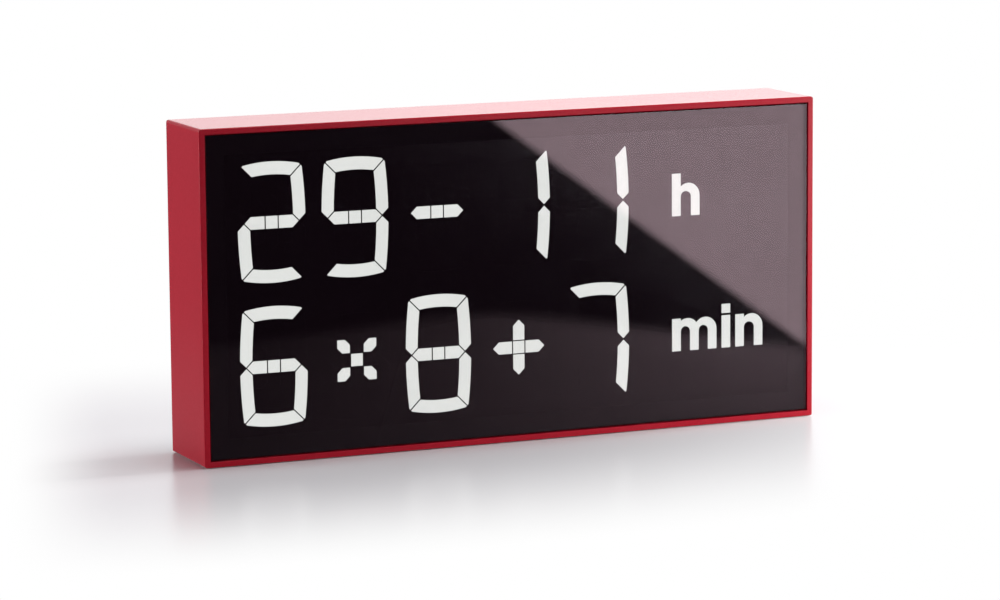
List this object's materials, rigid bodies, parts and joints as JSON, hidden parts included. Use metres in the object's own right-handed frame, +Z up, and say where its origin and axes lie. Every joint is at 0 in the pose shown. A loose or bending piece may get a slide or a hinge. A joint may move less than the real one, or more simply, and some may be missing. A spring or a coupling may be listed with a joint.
{
  "type": "math clock",
  "caption": "Flat rectangular desk or wall clock that shows the time as an hour sum and a minute sum, in lit white segments behind a smoked front panel in a red case.",
  "frame": {"origin": "middle of the footprint, on the surface that the clock stands on", "axes": "+X to the right across the front, +Y from the front to the back, +Z up"},
  "size_m": [0.34, 0.05, 0.17],
  "materials": {
    "red_lacquer": "satin lacquer",
    "smoked_acrylic": "polished, tinted through",
    "black_film": "printed film",
    "black_moulding": "fine spark texture",
    "lit_lens": "translucent, lit",
    "unlit_lens": "translucent, dark",
    "white_board": "white solder mask",
    "green_board": "green solder mask",
    "lamp_resin": "lamp chip resin",
    "chip_resin": "moulded resin",
    "ribbon_vinyl": "grey vinyl",
    "nickel_shell": "nickel plated",
    "zinc_steel": "zinc plated",
    "button_cap": "satin moulding",
    "plunger_nylon": "nylon",
    "pad_rubber": "matt rubber"
  },
  "bodies": {
    "clock_body": {"case_frame": "red_lacquer", "front_panel": "smoked_acrylic", "panel_tape": "black_film", "segment_film": "black_film", "light_mask": "black_moulding", "lamp_board": "white_board", "segment_lamps": "lamp_resin", "driver_chips": "chip_resin", "lamp_connector": "chip_resin", "module_screws": "zinc_steel", "ribbon_cable": "ribbon_vinyl", "control_connector": "chip_resin", "control_board": "green_board", "processor": "chip_resin", "clock_crystal": "nickel_shell", "cell_holder": "chip_resin", "backup_cell": "nickel_shell", "supply_capacitors": "nickel_shell", "power_socket": "nickel_shell", "switch_bodies": "chip_resin", "board_screws": "zinc_steel", "rear_cover": "black_moulding", "cover_screws": "zinc_steel", "foot_pads": "pad_rubber", "hours_cell_1": "lit_lens", "hours_cell_2": "lit_lens", "hours_cell_3": "lit_lens", "hours_cell_4": "lit_lens", "hours_cell_5": "lit_lens", "minutes_cell_1": "lit_lens", "minutes_cell_2": "lit_lens", "minutes_cell_3": "lit_lens", "minutes_cell_4": "lit_lens", "minutes_cell_5": "lit_lens", "hour_letter": "lit_lens", "minute_letters": "lit_lens", "hours_unlit_lenses": "unlit_lens", "minutes_unlit_lenses": "unlit_lens"},
    "hour_button_body": {"hour_button": "button_cap", "hour_plunger": "plunger_nylon"},
    "minute_button_body": {"minute_button": "button_cap", "minute_plunger": "plunger_nylon"},
    "level_button_body": {"level_button": "button_cap", "level_plunger": "plunger_nylon"},
    "brightness_button_body": {"brightness_button": "button_cap", "brightness_plunger": "plunger_nylon"}
  },
  "joints": [
    {"name": "hour_press", "type": "slide", "parent": "clock_body", "child": "hour_button_body", "axis": [0, -1, 0], "range_m": [0, 0.0008], "stiffness_N_per_m": 400, "springref_m": -0.0008},
    {"name": "minute_press", "type": "slide", "parent": "clock_body", "child": "minute_button_body", "axis": [0, -1, 0], "range_m": [0, 0.0008], "stiffness_N_per_m": 400, "springref_m": -0.0008},
    {"name": "level_press", "type": "slide", "parent": "clock_body", "child": "level_button_body", "axis": [0, -1, 0], "range_m": [0, 0.0008], "stiffness_N_per_m": 400, "springref_m": -0.0008},
    {"name": "brightness_press", "type": "slide", "parent": "clock_body", "child": "brightness_button_body", "axis": [0, -1, 0], "range_m": [0, 0.0008], "stiffness_N_per_m": 400, "springref_m": -0.0008}
  ]
}
